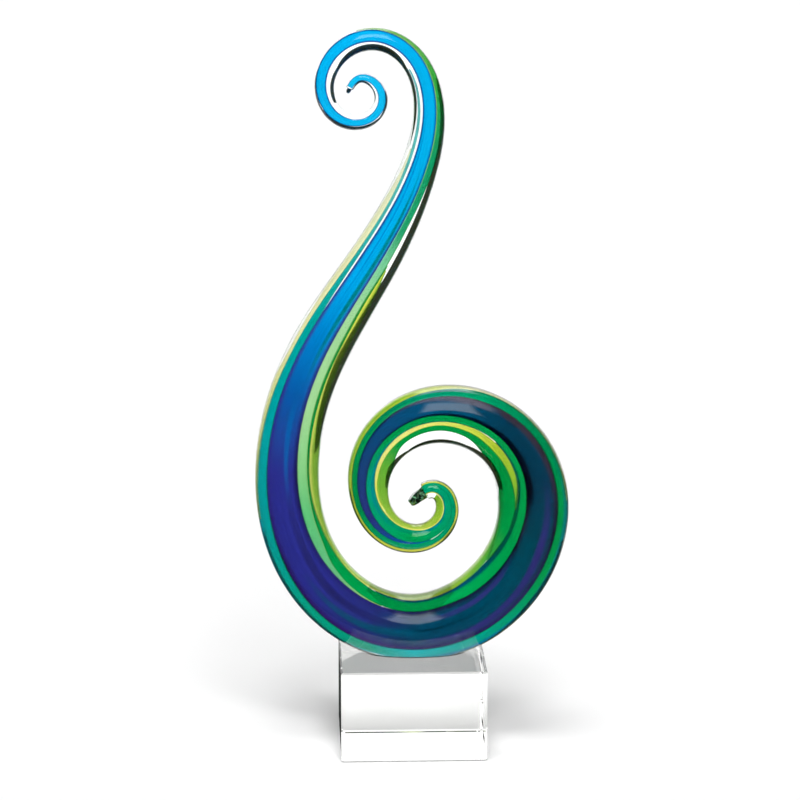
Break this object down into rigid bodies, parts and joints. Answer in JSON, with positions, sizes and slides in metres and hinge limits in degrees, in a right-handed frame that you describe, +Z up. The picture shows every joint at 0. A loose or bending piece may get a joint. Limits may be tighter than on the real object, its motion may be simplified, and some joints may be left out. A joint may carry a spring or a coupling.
{
  "type": "glass scroll sculpture on a block",
  "caption": "Wave-shaped scroll of drawn clear glass cased over coloured glass bars, curled into a ring and a small top curl, glued to a square clear crystal block.",
  "frame": {"origin": "centre of the crystal block's underside", "axes": "+Z up through the scroll, +X to the right along the scroll's plane, -Y towards the viewer"},
  "size_m": [0.1619, 0.075, 0.3727],
  "materials": {
    "clear_glass": "gloss",
    "cobalt_glass": "gloss",
    "teal_glass": "gloss",
    "straw_glass": "gloss",
    "mint_glass": "gloss",
    "green_glass": "gloss",
    "lime_glass": "gloss",
    "peacock_glass": "gloss",
    "leaf_glass": "gloss",
    "lemon_glass": "gloss",
    "rim_glass": "gloss",
    "clear_glue": "gloss",
    "crystal": "polished"
  },
  "bodies": {
    "root": {"clear_glass_casing": "clear_glass", "cobalt_core_bar": "cobalt_glass", "teal_bar": "teal_glass", "straw_yellow_bar": "straw_glass", "mint_green_bar": "mint_glass", "green_bar": "green_glass", "lime_bar": "lime_glass", "peacock_thread": "peacock_glass", "leaf_green_bar": "leaf_glass", "lemon_bar": "lemon_glass", "lime_rim_thread": "rim_glass", "glue_film": "clear_glue", "crystal_block": "crystal"}
  },
  "joints": []
}
